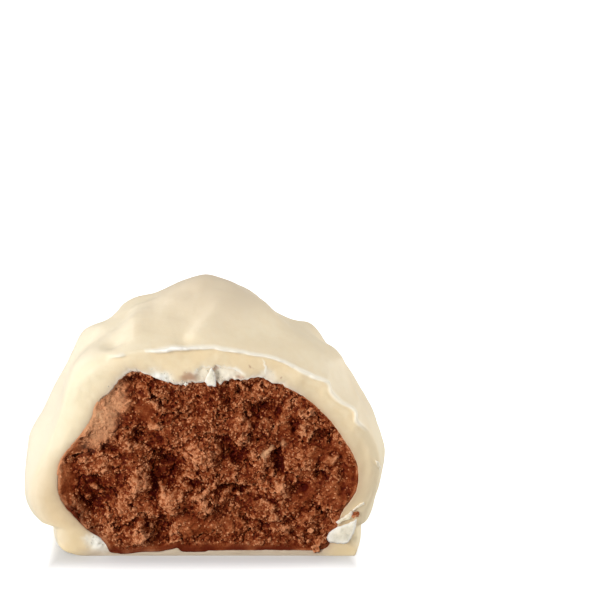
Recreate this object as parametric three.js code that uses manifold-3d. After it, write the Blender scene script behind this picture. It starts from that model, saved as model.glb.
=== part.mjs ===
// A praline rocher cut open: a craggy dome of white chocolate round a core of crumbly praline, with the
// front third sliced away. Millimetres, +Z up, the cut towards -Y, the origin under the middle of the rest.
import * as THREE from "three";
import { ImprovedNoise } from "three/addons/math/ImprovedNoise.js";
import { mergeVertices } from "three/addons/utils/BufferGeometryUtils.js";
import Module from "manifold-3d";

const wasm = await Module();
wasm.setup();

// Driving dimensions of the whole sweet
const DOME_RADIUS = 21.7;
const DOME_HEIGHT = 31.6;
const FOOT_RADIUS = 18.5;
const FOOT_HEIGHT = 2.6; // up to the crease under the belly
const FOOT_ROUND = 0.8; // radius of the foot's lower edge
const FOOT_SHIFT = [-0.3, -1.2]; // where the foot's middle lies from the dome's axis
const FOOT_RIPPLE = 0.9; // how far the foot's edge wanders in and out where the coating ran down
const FOOT_LOBES = 2.2;
const CUT_AHEAD = 7.5; // how far in front of the dome's axis the knife went down
const CROWN_LEAN = 3.4; // how far the highest point leans back from the axis
const LEAN_FROM = 0.5 * DOME_HEIGHT; // the lean begins at this height
const DOME_TILT = 0.035; // how much higher the dome sits for each millimetre to the right

// The dome's outline from the crease to the crown, as shares of its radius and height
const DOME_OUTLINE = [
  [0.945, 0.13],
  [1, 0.27],
  [0.945, 0.43],
  [0.81, 0.61],
  [0.64, 0.755],
  [0.36, 0.88],
  [0.13, 0.98],
  [0, 1],
];

// The core inside the coating
const WALL = 2.7; // coating beside the core at its widest
const FLOOR = 0.9; // coating under the core
const CORE_RADIUS = DOME_RADIUS - WALL;
const CORE_TOP = 23;
const CORE_SHIFT = 0.6; // how far the core's base sits to the right of the dome's axis
const CORE_LEAN = 0.05; // how far the core leans left for each millimetre up
const CORE_TILT = 0.03; // how much higher the core's top sits for each millimetre to the left
const CLEARANCE = 0.3; // between the core and the coating round it

// The core's outline from its base to its top, as shares of its radius and height
const CORE_OUTLINE = [
  [0.76, 0],
  [0.93, 0.21],
  [1, 0.39],
  [0.96, 0.56],
  [0.8, 0.76],
  [0.67, 0.93],
  [0.4, 0.97],
  [0, 1],
];

// Lumps of the dome that stand out, and hollows with a height below nought: place on the dome and reach
const LUMPS = [
  { at: [-14.5, -7.5, 24], reach: 5, height: 2.7 },
  { at: [-6, -7.5, 26], reach: 4.5, height: 0.9 },
  { at: [-10.5, 5.5, 27.4], reach: 3.6, height: 1.1 },
  { at: [-13, 5, 26.4], reach: 2, height: -1 },
  { at: [-15.7, 4, 25], reach: 2.8, height: 1.2 },
  { at: [-19, 1, 14], reach: 5, height: 0.8 },
  { at: [-21, -3, 5], reach: 6, height: 1.4 },
  { at: [20, -7.5, 13], reach: 5, height: 0.6 },
  { at: [11.9, 5.5, 25], reach: 6, height: -1.3 },
  { at: [10.4, 5.5, 26.6], reach: 2.2, height: -1 },
  { at: [13.2, 4.6, 24.7], reach: 2.2, height: 1.4 },
  { at: [18.4, 2, 18.5], reach: 3.5, height: -0.5 },
  { at: [21, 2, 6], reach: 5, height: -0.9 },
];

// Chopped nuts under the coating
const NUT_COUNT = 90;
const NUT_REACH = [2, 3.4];
const NUT_HEIGHT = [0.2, 0.8];
const NUT_JITTER = [-0.3, 0.3]; // turn of a nut from its even place, in radians
const NUT_SEED = 41;
const NUT_SINK = 0.4; // how far the coating between the nuts dips under the outline
const HEART_HEIGHT = 0.3 * DOME_HEIGHT; // lumps and nuts swell away from a point this high on the axis
const SWELL_FROM = 2 * FOOT_HEIGHT; // they are at their full height from here up

// Crumb of the cut core: place across and up the cut, and radius
const PITS = [
  [-3.4, 11.2, 2.1],
  [-13, 6.3, 1.6],
  [-5.7, 3.7, 1.3],
  [4.1, 19.8, 1.2],
  [8.8, 13.6, 1.5],
  [13.8, 10.1, 1],
  [3.6, 8.6, 1.4],
  [14.7, 15.5, 1],
];
const CLUMPS = [
  [-1.7, 7, 2.6],
  [-7.5, 2.7, 1.4],
  [0.4, 13.4, 2],
  [-8, 8.8, 1.7],
  [10.2, 7.9, 1.6],
  [-11.6, 18.2, 2.4],
];
const SMEARS = [
  [-16.2, 10, 2.2],
  [-7.3, 17.8, 2.6],
  [3.3, 4.1, 2.4],
  [15.5, 11.2, 2],
];
const PIT_DEPTH = 1.5;
const CLUMP_HEIGHT = 0.7;
const CORE_RECESS = 0.6; // the crumb lies this far behind the coating's cut
const CRAG_SIZE = 1.6;
const CRAG_DEPTH = 1.1;
const CRUMB_RANGE = [-0.2, 2.6]; // from the proudest crag to the deepest pit, behind the cut
const CRUMB_STEP = 0.8; // spacing of the facets on the cut

// Shard of coating that broke loose at the cut's lower right: its corners across and up the cut
const SHARD = [
  [14.4, 1.4],
  [14, 2.9],
  [15.6, 4.7],
  [17.3, 5.8],
  [17.9, 4.6],
  [17.4, 1.8],
];
const SHARD_PROUD = 0.7; // how far the shard stands out of the cut
const SHARD_SUNK = 1; // how far it is bedded in the coating
const SHARD_BEVEL = 0.25;

// Facets
const DOME_STEPS = 4; // rings between two points of the dome's outline
const DOME_SECTORS = 84;
const CORE_STEPS = 3;
const CORE_SECTORS = 48;
const NOISE_SLICE = 0.5; // the plane in which the noise is read

const noise = new ImprovedNoise();
const random = THREE.MathUtils.seededRandom;
const between = ([low, high]) => THREE.MathUtils.lerp(low, high, random());
const ease = THREE.MathUtils.smoothstep;
const heart = new THREE.Vector3(0, 0, HEART_HEIGHT);

// A closed geometry as a solid that can be joined and cut
function solidOf(geometry) {
  geometry.deleteAttribute("normal");
  geometry.deleteAttribute("uv");
  const merged = mergeVertices(geometry);
  return new wasm.Manifold(
    new wasm.Mesh({
      numProp: 3,
      vertProperties: merged.attributes.position.array,
      triVerts: new Uint32Array(merged.index.array),
    }),
  );
}

function geometryOf(solid) {
  const { vertProperties, triVerts } = solid.getMesh();
  const geometry = new THREE.BufferGeometry();
  geometry.setAttribute("position", new THREE.BufferAttribute(vertProperties, 3));
  geometry.setIndex(new THREE.BufferAttribute(triVerts, 1));
  geometry.computeVertexNormals();
  return geometry;
}

// Moves every vertex of a geometry by a rule that changes the point it is given
function reshape(geometry, rule) {
  const position = geometry.attributes.position;
  const point = new THREE.Vector3();
  for (let i = 0; i < position.count; i++) {
    rule(point.fromBufferAttribute(position, i));
    position.setXYZ(i, point.x, point.y, point.z);
  }
  return geometry;
}

// A profile turned about the vertical axis
function turned(profile, steps, sectors) {
  return new THREE.LatheGeometry(profile.getPoints(steps), sectors).rotateX(Math.PI / 2);
}

// The outside of the dome: a foot with a rounded lower edge, a crease over it, the belly and the crown
function domeProfile() {
  const outline = DOME_OUTLINE.map(([out, up]) => new THREE.Vector2(out * DOME_RADIUS, up * DOME_HEIGHT));
  return new THREE.Path()
    .lineTo(FOOT_RADIUS - FOOT_ROUND, 0)
    .quadraticCurveTo(FOOT_RADIUS, 0, FOOT_RADIUS, FOOT_ROUND)
    .lineTo(FOOT_RADIUS, FOOT_HEIGHT)
    .splineThru(outline);
}

// The outside of the core, grown all round by a margin
function coreProfile(margin) {
  const low = FLOOR - margin;
  const tall = CORE_TOP + margin - low;
  const widest = CORE_RADIUS + margin;
  const [base, ...side] = CORE_OUTLINE.map(([out, up]) => new THREE.Vector2(out * widest, low + up * tall));
  return new THREE.Path().moveTo(0, low).lineTo(base.x, base.y).splineThru(side);
}

// Chopped nuts spread evenly over the dome in a spiral, each a soft swelling of its own size
function scatterNuts() {
  random(NUT_SEED);
  const golden = Math.PI * (3 - Math.sqrt(5));
  return Array.from({ length: NUT_COUNT }, (_, i) => {
    const up = (i + 0.5) / NUT_COUNT;
    const turn = i * golden + between(NUT_JITTER);
    const out = Math.sqrt(1 - up * up);
    const direction = new THREE.Vector3(out * Math.cos(turn), out * Math.sin(turn), up);
    return { direction, reach: between(NUT_REACH), height: between(NUT_HEIGHT) };
  });
}

// A named lump, as the direction it lies in from the heart
function lumpTowards({ at, ...size }) {
  return { direction: new THREE.Vector3(...at).sub(heart).normalize(), ...size };
}

const swellings = [...LUMPS.map(lumpTowards), ...scatterNuts()];

// How much wider the foot is than a true circle, on the side where a point lies
function footRipple(point, strength) {
  const turn = Math.atan2(point.y, point.x);
  const wander = noise.noise(FOOT_LOBES * Math.cos(turn), FOOT_LOBES * Math.sin(turn), NOISE_SLICE);
  const wider = 1 + (strength * FOOT_RIPPLE * wander) / FOOT_RADIUS;
  return new THREE.Vector3(wider, wider, 1);
}

// Swells a point of the dome by the nuts and lumps near it, sets the dome askew and leans its crown back
function craggy(point) {
  const outward = point.clone().sub(heart);
  const span = outward.length();
  outward.divideScalar(span);
  const swell = swellings.reduce((sum, { direction, reach, height }) => {
    const away = outward.distanceTo(direction) * span;
    return sum + height * Math.exp(-((away / reach) ** 2));
  }, 0);
  const aboveFoot = ease(point.z, FOOT_HEIGHT, SWELL_FROM);
  point.addScaledVector(outward, aboveFoot * (swell - NUT_SINK));
  point.multiply(footRipple(point, 1 - aboveFoot));
  point.x += FOOT_SHIFT[0] * (1 - aboveFoot);
  point.y += FOOT_SHIFT[1] * (1 - aboveFoot);
  point.y += CROWN_LEAN * ease(point.z, LEAN_FROM, DOME_HEIGHT);
  point.z += DOME_TILT * point.x * aboveFoot;
}

// Sets a point of the core askew, as the core sits in the dome
function leaning(point) {
  point.z -= CORE_TILT * point.x * ease(point.z, FLOOR, CORE_TOP);
  point.x += CORE_SHIFT - CORE_LEAN * point.z;
}

// A block well larger than the sweet in front of the knife, its back face flat or shaped by a relief
function inFrontOfKnife(relief) {
  const wide = 3 * DOME_RADIUS;
  const tall = 1.5 * DOME_HEIGHT;
  const deep = DOME_RADIUS;
  const across = relief ? Math.round(wide / CRUMB_STEP) : 1;
  const up = relief ? Math.round(tall / CRUMB_STEP) : 1;
  const block = new THREE.BoxGeometry(wide, deep, tall, across, 1, up);
  block.translate(0, -CUT_AHEAD - deep / 2, tall / 2 - DOME_HEIGHT / 8);
  return reshape(block, (point) => {
    if (relief && point.y > -CUT_AHEAD - deep / 2) point.y += relief(point.x, point.z);
  });
}

// How far the crumb lies behind the knife at a point of the cut
function crumbRelief(x, z) {
  const near = ([across, up, radius]) => Math.exp(-(((x - across) ** 2 + (z - up) ** 2) / radius ** 2));
  const strongest = (marks) => Math.max(...marks.map(near));
  const crag = CRAG_DEPTH * noise.noise(x / CRAG_SIZE, NOISE_SLICE, z / CRAG_SIZE);
  const torn = PIT_DEPTH * strongest(PITS) - CLUMP_HEIGHT * strongest(CLUMPS);
  const rough = 1 - strongest(SMEARS);
  return THREE.MathUtils.clamp(CORE_RECESS + torn + rough * crag, ...CRUMB_RANGE);
}

// The shard at the cut, grown all round by a margin
function shardSolid(margin) {
  const outline = new THREE.Shape(SHARD.map(([across, up]) => new THREE.Vector2(across, up)));
  const shard = new THREE.ExtrudeGeometry(outline, {
    depth: SHARD_PROUD + SHARD_SUNK + 2 * margin,
    bevelThickness: SHARD_BEVEL,
    bevelSize: SHARD_BEVEL + margin,
    bevelSegments: 1,
  });
  shard.translate(0, 0, CUT_AHEAD - SHARD_SUNK - margin);
  return solidOf(shard.rotateX(Math.PI / 2));
}

function coatingSolid() {
  const dome = solidOf(reshape(turned(domeProfile(), DOME_STEPS, DOME_SECTORS), craggy));
  const hollow = solidOf(reshape(turned(coreProfile(CLEARANCE), CORE_STEPS, CORE_SECTORS), leaning));
  return dome.subtract(hollow).subtract(solidOf(inFrontOfKnife(null))).add(shardSolid(0));
}

function coreSolid() {
  const whole = solidOf(reshape(turned(coreProfile(0), CORE_STEPS, CORE_SECTORS), leaning));
  return whole.subtract(solidOf(inFrontOfKnife(crumbRelief))).subtract(shardSolid(CLEARANCE));
}

function piece(name, solid, material) {
  const mesh = new THREE.Mesh(geometryOf(solid), material);
  mesh.name = name;
  return mesh;
}

const whiteChocolate = new THREE.MeshStandardMaterial({ color: "#efdfb8", roughness: 0.42, metalness: 0 });
const praline = new THREE.MeshStandardMaterial({ color: "#7a4226", roughness: 0.85, metalness: 0 });

const kept = new THREE.Group();
kept.add(piece("coating", coatingSolid(), whiteChocolate));
kept.add(piece("praline_core", coreSolid(), praline));

// The origin goes under the middle of what is left
const middle = new THREE.Box3().setFromObject(kept).getCenter(new THREE.Vector3());
kept.position.set(-middle.x, -middle.y, 0);

const sweet = new THREE.Group();
sweet.add(kept);

export default sweet;
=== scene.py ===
import math

import bpy
import numpy as np
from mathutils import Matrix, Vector, noise
from mathutils.bvhtree import BVHTree


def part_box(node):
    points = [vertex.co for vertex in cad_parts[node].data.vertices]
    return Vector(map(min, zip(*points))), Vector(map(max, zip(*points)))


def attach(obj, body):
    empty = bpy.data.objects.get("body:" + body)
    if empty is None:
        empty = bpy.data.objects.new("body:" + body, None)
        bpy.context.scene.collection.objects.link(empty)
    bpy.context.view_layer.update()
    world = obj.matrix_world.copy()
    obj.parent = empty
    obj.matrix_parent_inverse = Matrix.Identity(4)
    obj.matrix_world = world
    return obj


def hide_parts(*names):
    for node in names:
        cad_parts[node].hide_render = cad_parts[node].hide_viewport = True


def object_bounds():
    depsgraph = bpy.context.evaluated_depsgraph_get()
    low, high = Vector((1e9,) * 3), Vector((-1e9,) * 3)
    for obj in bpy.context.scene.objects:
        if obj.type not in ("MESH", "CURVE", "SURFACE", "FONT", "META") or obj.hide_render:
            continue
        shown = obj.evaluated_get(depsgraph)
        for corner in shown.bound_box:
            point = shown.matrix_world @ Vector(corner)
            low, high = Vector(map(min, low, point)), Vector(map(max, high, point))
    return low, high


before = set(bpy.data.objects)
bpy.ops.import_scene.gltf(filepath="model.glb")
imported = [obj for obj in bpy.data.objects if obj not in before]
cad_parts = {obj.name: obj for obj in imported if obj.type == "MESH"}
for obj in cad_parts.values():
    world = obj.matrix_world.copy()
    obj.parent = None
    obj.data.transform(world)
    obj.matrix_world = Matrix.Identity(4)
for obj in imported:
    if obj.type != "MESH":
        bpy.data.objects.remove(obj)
cad_box = [list(corner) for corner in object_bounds()]

# Places taken from the frame, in metres
MM = 0.001
SHARD_PROUD = 0.95 * MM  # how far the loose shard stands out in front of the cut
CUT = cad_box[0][1] + SHARD_PROUD  # the cut lies in this plane of y
CORE_LOW, CORE_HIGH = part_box("praline_core")
HEART_DEPTH = 0.05 * MM
HEART = Vector((  # the middle of the core, just behind the cut
    (CORE_LOW.x + CORE_HIGH.x) / 2, CUT + HEART_DEPTH, (CORE_LOW.z + CORE_HIGH.z) / 2,
))
FAR = 60 * MM  # further from the heart than any of the sweet

# Steps of the meshes
TURNS = 640  # round the cut
OUTER_ROWS = 104  # from the cut over the dome to its back
RING_ROWS = 24  # across the coating's cut
CAVITY_ROWS = 10  # along the coating's hollow
CUT_STEPS = 290  # along each way over the core's cut
SIDE_ROWS = 7  # along the core's hidden sides
FLAKE_ROWS = 7
FLAKE_SIDES = 48

# The coating's cut
LIP = 0.34 * MM  # height of the thin ridge that the knife left along the top edge
LIP_WIDTH = 0.34 * MM
LIP_SPAN = (-11.5, 20.5)  # from where to where across the cut, in mm
LIP_END = 2  # how far it takes to fade in at each end, in mm
LIP_THICK = (-3.1, 1.9)  # where it is thickest, and half how long that is
LIP_BROKEN = -5.2  # it is broken left of here
LIP_SOFT = 13.5  # it is wider and less white, with less painted highlight, right of here
EDGE_ROUND = 0.8 * MM  # how far the edge is rounded where there is no ridge
EDGE_FADE = 1.4 * MM  # how far the colour of the cut fades out there
INNER_ROUND = 0.15 * MM  # how far the edge beside the core is rounded
WAVE_HEIGHT = 0.04 * MM  # of the ripples that run beside the right edge
WAVE_STEP = 1.3 * MM
WAVE_REACH = 2.0 * MM
WAVE_ACROSS = (9, 13)  # where they set in, in mm
WAVE_UP = (8, 12)
PALE_RIM = 0.45 * MM  # how wide the coating is pale beside the core, along the top
INNER_GREY = 1.1 * MM  # how far beside the core the coating is greyer
SHARD_TURNS = (math.radians(-38), math.radians(-12))  # where the shard hides the inner edge

# Unevenness, as layers of noise: height, size of the bumps, and seed
CUT_UNEVEN = ((0.22 * MM, 3 * MM, 1.7), (0.06 * MM, 0.9 * MM, 2.7))
CRUMBLED_GRAIN = ((0.2, 0.9 * MM, 9.1), (0.14, 0.4 * MM, 3.9))  # heights in mm
INNER_JAG = ((0.35 * MM, 1.6 * MM, 5.5), (0.3 * MM, 0.6 * MM, 6.5))
MARK_WANDER = ((0.5, 1.1 * MM, 4.4), (0.25, 0.45 * MM, 7.4))  # how far marks stray, in mm

# How far the core's edge lies outside the CAD's: degrees round the cut, half width in degrees, and mm out
EDGE_SHIFTS = [
    (2, 9, 0.3), (20, 14, 1.05), (60, 6, 0.6), (79, 5, -0.5), (93, 5, -0.5), (108, 8, -0.9),
    (126, 6.5, 1.3), (141, 6, -0.6), (166, 13, -0.95), (195, 6, 0.4), (219, 6, -0.7), (224.5, 2, 0.3),
    (229, 4, 0.45), (248, 4, -0.3), (251.5, 2.2, -0.4), (323, 4, 0.6), (339, 6, -0.6),
]

# The same for the coating's outer edge
OUTER_SHIFTS = [
    (104, 4.5, 0.45), (97, 6, 0.3), (81, 5, -0.3), (36, 3, 0.6), (21.5, 3.5, 0.6), (17, 2.5, -0.35),
    (209, 5, 0.65), (214.5, 2.4, -0.6), (327, 4.5, 0.5), (338, 4, -0.35),
]
OUTER_SHIFT_REACH = 2 * MM  # how far back from the cut they fade out
INNER_BLUR = 3  # steps over which the CAD's inner edge is smoothed
OUTER_BLUR = (2.6, 2)  # and its dome, round the cut and backwards
FOOT_KEPT = 0.8  # share of its form that the foot keeps
FOOT_END = (2 * MM, 5 * MM)  # the foot ends between these heights
CREASE = [(0, 0), (2.6, 3.5), (3.6, 3.9), (8, 8)]  # heights in the CAD and here round the crease, in mm

# Folds and hollows of the dome, in mm: from, to, half width and height
FOLDS = [
    ((2.2, -8.5, 29.2), (-0.4, -12.0, 27.5), 1.5, 0.5),
    ((-0.4, -6.0, 30.1), (-2.6, -11.8, 27.5), 2.3, -0.65),
    ((-2.2, -4.5, 30.3), (-2.8, -7.5, 29.3), 1.6, -0.4),
    ((-10.8, -10.8, 26.0), (-10.8, -10.8, 26.0), 1.5, -0.6),
    ((2.9, -10.1, 28.4), (3.8, -10.6, 28.0), 1.6, -0.3),
    ((8.3, -9.7, 27.0), (8.3, -9.7, 27.0), 2.0, -0.4),
    ((10.6, -1.7, 25.3), (15.8, -8.7, 22.8), 1.5, 0.35),
    ((15.7, -10.7, 22.2), (15.7, -10.7, 22.2), 1.5, -0.3),
    ((3.9, -6.5, 29.9), (3.9, -6.5, 29.9), 1.8, 0.25),
    ((2.3, -4.2, 31.2), (2.3, -4.2, 31.2), 1.4, -0.3),
    ((0.3, -4.8, 31.2), (-1.2, -4.7, 30.8), 1.0, -0.2),
    ((-7.3, -2.7, 27.4), (-7.6, -10.8, 27.0), 1.5, 0.4),
    ((-12.4, -4.2, 25.0), (-13.9, -1.0, 24.4), 1.9, 0.55),
    ((-10.1, -1.8, 26.2), (-10.1, 0.5, 26.4), 1.4, 0.35),
    ((-6.5, -0.9, 28.2), (-6.5, 2.0, 28.3), 1.8, -0.35),
    ((1.4, -3.6, 31.4), (2.2, -1.0, 31.4), 1.3, -0.35),
    ((7.8, -6.2, 28.1), (7.6, -2.5, 28.5), 1.6, 0.4),
    ((15.2, -6.7, 23.3), (16.0, -8.3, 22.7), 1.5, 0.45),
]

# Marks on the cut, in mm: across and up the cut, half width, half height, turn in degrees
CRUMBLED = [  # where the coating broke rather than cut, and how pale it is there
    (-4.8, 22.7, 1.6, 1.2, -20, 1.0),
    (1.9, 23.2, 3.0, 1.1, 0, 0.6),
    (7.9, 23.0, 0.8, 1.0, 10, 0.5),
    (-12.5, 1.7, 1.7, 1.1, -20, 0.95),
]
SCOOP = (1.9, 23.2, 3.0, 1.1, 0)  # a hollow that broke out of it at the top
SCOOP_DEPTH = 0.28 * MM
CRACK = (7.6, 24.2, 0.15, 1.1, 15)
CRACK_HEIGHT = 0.1 * MM
SMUDGES = [  # praline on the coating; the last two are tiny brown dots at pinholes
    (-1.5, 22.9, 1.0, 0.7, 0),
    (1.8, 23.8, 0.5, 0.4, 0),
    (4.6, 22.9, 0.4, 0.3, 0),
    (5.8, 24.2, 0.14, 0.12, 0),
    (9.5, 22.8, 0.16, 0.13, 0),
]
SMEARS = [  # where the knife pressed the crumb smooth: how smooth it is, and how much paler
    (-11.5, 17.7, 4.4, 1.8, 64, 0.5, 0.36),
    (-11.8, 17.7, 0.9, 0.22, 65, 0.9, 0.45),
    (7.8, 12.5, 0.45, 0.65, -10, 0.7, 0.42),
    (9.75, 14.1, 0.35, 0.7, 10, 0.4, 0.3),
    (-16.3, 9.4, 1.1, 2.7, 0, 1.0, -0.06),
    (-15.0, 13.9, 1.0, 1.1, 0, 1.0, -0.06),
    (-7.0, 18.0, 1.9, 1.2, -20, 0.85, 0.0),
    (0.4, 3.6, 4.0, 1.7, 0, 0.7, -0.02),
    (16.1, 8.2, 1.7, 1.6, 0, 0.65, 0.0),
    (17.7, 9.7, 0.9, 1.7, 0, 0.8, -0.26),
    (15.1, 13.0, 2.6, 1.7, 0, 0.7, 0.0),
    (9.9, 15.2, 1.2, 1.5, 0, 0.6, -0.03),
    (12.0, 8.0, 1.2, 1.5, 0, 0.85, -0.06),
]
PITS = [  # with their depth
    (-4.7, 10.7, 2.0, 2.1, 0, 1.7),
    (-6.0, 8.3, 0.9, 1.3, 0, 0.5),
    (-1.2, 9.1, 1.3, 0.6, -10, 1.2),
    (1.7, 7.6, 0.7, 1.2, -40, 1.0),
    (3.8, 8.1, 1.5, 0.5, 0, 1.1),
    (3.8, 13.2, 2.6, 1.2, -42, 1.4),
    (9.2, 12.0, 0.7, 1.9, 0, 1.2),
    (7.1, 18.4, 1.9, 1.4, 0, 1.5),
    (10.9, 16.4, 0.8, 1.0, 0, 0.7),
    (15.1, 15.6, 0.9, 0.9, -35, 1.0),
    (14.2, 9.9, 0.6, 0.6, 0, 0.9),
    (11.4, 8.6, 1.0, 0.9, 0, 0.6),
    (15.0, 5.6, 0.9, 0.4, 0, 0.6),
    (7.2, 3.5, 1.0, 0.7, 0, 0.5),
    (5.2, 4.5, 0.7, 0.5, 0, 0.9),
    (14.6, 1.4, 0.8, 0.35, 0, 0.9),
    (4.4, 21.0, 0.6, 0.7, 0, 1.0),
    (-12.9, 7.4, 2.3, 2.6, 0, 1.2),
    (-10.8, 13.5, 1.3, 1.0, 0, 0.7),
    (-7.6, 15.0, 1.1, 0.8, 0, 1.0),
    (-5.0, 3.9, 1.3, 1.0, 0, 1.2),
    (-8.4, 22.5, 1.8, 0.8, 0, 0.7),
    (-15.2, 12.9, 1.3, 0.2, 5, 1.2),
    (-16.6, 12.1, 0.2, 0.6, -15, 1.0),
]
CLUMPS = [  # with their height
    (-3.4, 7.0, 1.9, 1.7, 0, 1.5),
    (0.1, 6.7, 1.3, 1.5, -35, 1.6),
    (-7.6, 9.3, 1.0, 1.2, 0, 1.1),
    (-7.4, 3.0, 1.0, 1.0, 0, 1.2),
    (-7.7, 4.8, 0.8, 0.7, 0, 0.6),
    (-13.1, 8.3, 0.5, 0.5, 0, 1.0),
    (-13.4, 6.7, 0.5, 0.4, 0, 0.9),
    (-11.5, 5.5, 0.6, 0.4, 0, 0.9),
    (-14.3, 11.7, 0.7, 0.5, 0, 0.5),
    (-12.2, 11.3, 1.5, 1.2, 0, 0.5),
    (-5.3, 16.7, 0.8, 0.7, 0, 0.5),
    (-4.9, 20.6, 0.9, 0.8, 0, 0.4),
    (-0.4, 12.6, 1.9, 1.9, 0, 0.7),
    (4.4, 17.4, 1.3, 1.9, 0, 0.6),
    (6.6, 11.8, 1.2, 1.5, 0, 0.6),
    (12.3, 18.0, 0.8, 0.7, 0, 0.7),
    (9.2, 8.4, 0.9, 1.2, 0, 0.9),
    (8.3, 5.2, 1.0, 0.8, 0, 0.5),
    (15.7, 8.7, 1.0, 1.2, 0, 0.4),
    (15.5, 12.4, 0.7, 0.6, 0, 0.5),
    (9.8, 3.1, 1.2, 0.9, 0, 0.7),
    (0.4, 3.7, 3.8, 1.4, 0, 0.4),
]
WANDER_SEED = 5  # of the drift that makes these marks uneven
BROAD_DRIFT = (0.8, 1.6 * MM)  # how far it goes, in mm, and over what length
FINE_DRIFT = (0.35, 0.6 * MM)

# How much paler each kind of mark makes the crumb, on the scale of its colours; darker pits and paler
# clumps are partly painted shade and light, and the darker rim is painted shade
PIT_TONE = -0.12  # for each mm that the pit is wide
PIT_TONE_WIDEST = 1.6  # no wider pit is darker
CLUMP_TONE = 0.11
STREAK_TONE = 0.07
RIM_SHADE_TONE = -0.2
BIT_TONE = 0.14

# The core
RECESS = 0.3 * MM  # how far the crumb lies back from the CAD's
RIM_DEPTH = 0.3 * MM  # how deep behind the cut it meets the coating
TOP_RIM_DEPTH = 0.7 * MM  # and how much deeper along the top, where the coating is broken
RIM_SLOPE = 2.0 * MM  # over how much of its width it comes up to its full height
UNDER_COATING = 0.15 * MM  # how far it runs in under the coating's edge
SIDE_GAP = 0.1 * MM  # between its hidden sides and the coating
PROBE_INSET = 0.6 * MM  # the CAD's core is read this far inside the edge
PROBE_MISS = 0.6 * MM  # how deep it is taken to lie where a ray goes past it
PROBE_BLUR = 9  # steps over which what is read is smoothed

# Broken bits, in mm: how far out, thickness, rise across and up, ruggedness, and corners across and up
PALE_FLAKES = {
    "loose_shard": (0.35, 0.35, (0.12, -0.12), 0.4, [
        (14.85, 2.5), (15.1, 3.25), (15.6, 3.6), (16.7, 4.15), (17.55, 4.45), (18.35, 5.0), (18.3, 4.05),
        (18.05, 3.25), (17.7, 2.45), (17.4, 2.05), (16.8, 1.7), (16.25, 1.8), (15.6, 1.8), (14.9, 1.9),
    ]),
    "white_spindle": (0.0, 0.4, (0.15, 0.1), 0.3, [
        (1.25, 24.3), (1.55, 23.65), (1.7, 23.15), (1.75, 21.75), (0.7, 21.8), (0.6, 22.15), (0.3, 22.35),
        (0.95, 23.8),
    ]),
    "white_speck": (0.0, 0.3, (0.0, 0.0), 0.3, [(-2.1, 22.0), (-1.9, 22.4), (-1.5, 22.1), (-1.75, 21.8)]),
}
IVORY_FLAKES = {
    "rim_splinter": (0.05, 0.4, (0.0, -0.2), 0.3, [
        (15.85, 4.5), (16.35, 4.8), (16.95, 5.25), (17.55, 5.6), (17.9, 5.9), (17.85, 5.2), (17.45, 4.8),
        (16.7, 4.55), (16.1, 4.2),
    ]),
    "rim_streak": (-0.15, 0.25, (-0.1, -0.2), 0.3, [
        (17.8, 6.0), (18.4, 6.5), (19.2, 6.9), (19.25, 6.6), (18.6, 6.2), (17.95, 5.85),
    ]),
    "rim_flake": (-0.75, 0.3, (-0.9, 0.15), 0.3, [
        (20.5, 12.35), (20.95, 11.85), (21.3, 11.0), (21.1, 10.75), (20.7, 11.6),
    ]),
}
LOOSE_CRUMBS = {
    "stray_crumb": (0.0, 0.45, (0.0, 0.0), 0.6, [
        (17.7, 5.2), (17.85, 5.65), (18.3, 5.75), (18.65, 5.5), (18.6, 5.15), (18.1, 5.05),
    ]),
    "crumb_ledge": (0.1, 0.8, (0.0, -0.3), 0.6, [
        (13.3, 2.0), (13.8, 2.5), (14.45, 2.85), (14.85, 3.2), (14.9, 2.5), (14.6, 1.75), (14.1, 1.6),
        (13.5, 1.6),
    ]),
    "fallen_crumb": (0.0, 0.6, (0.0, 0.0), 0.6, [
        (13.0, 1.3), (13.35, 1.4), (13.85, 1.2), (14.1, 0.9), (13.85, 0.4), (13.45, 0.3), (13.15, 0.65),
    ]),
}
LOOSE_CRUMB_TEAR = {
    "Chunk_depth": 0.3 * MM, "Crag_depth": 0.7 * MM, "Pore_depth": 0.2 * MM, "Grain_depth": 0.12 * MM,
}

# Strewn bits: how many to a square mm, smallest and largest half size in mm, and seed
STREWN = {
    "praline_crumbs": (12, 0.05, 0.15, 4),
    "praline_clods": (0.15, 0.2, 0.4, 9),
    "white_chips": (3.5, 0.05, 0.13, 3),
}

# What is kept on each vertex of the coating, 0 to 1: how far a mark of that kind goes there
COATING_MARKS = ("cut", "edge", "rim", "smudge", "inner")

# Where the white chocolate's colour changes, in mm: a colour fades in from the first place to the second.
# Most of these paint light and shade onto it.
CROWN_SHADE = (27, 31)  # painted shade: the crown is darker, up the dome
# painted light: the left side is paler
LEFT_LIT_SIDE = (-10, -19)
# painted light: the right side is paler lower down, on the shell and the cut
RIGHT_LIT_SIDE = (12, 19)
RIGHT_LOW = (18, 12)
# painted shade: the cut is darker low down but paler again at its foot; painted light makes its upper left
# paler
CUT_HEIGHT = (6, 20)
CUT_FOOT = (5, 3)
CUT_LEFT = (-9, -16)
CUT_LEFT_UP = (8, 16)
BASE_LAYER = (1.3, 0.4)  # the thin layer under the core, greyer partly with dust and partly as painted shade near the floor
BASE_HALF = (16, 13)

# The praline's colours from its pits to the grains that stand up, as on a screen: darker in the pits partly
# as oil and partly as painted shade, paler on what stands up partly as dryness and partly as painted light
PRALINE_TONES = [
    (0.25, (74, 10, 0)), (0.42, (104, 35, 7)), (0.55, (132, 60, 26)), (0.7, (171, 97, 57)),
    (0.9, (223, 153, 109)),
]

# Camera, as the photograph was taken
CAMERA_AT = (11.6 * MM, -379.4 * MM, 165.6 * MM)
CAMERA_DOWN = 20  # degrees below level
LENS = 200.4
SENSOR = 36

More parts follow.
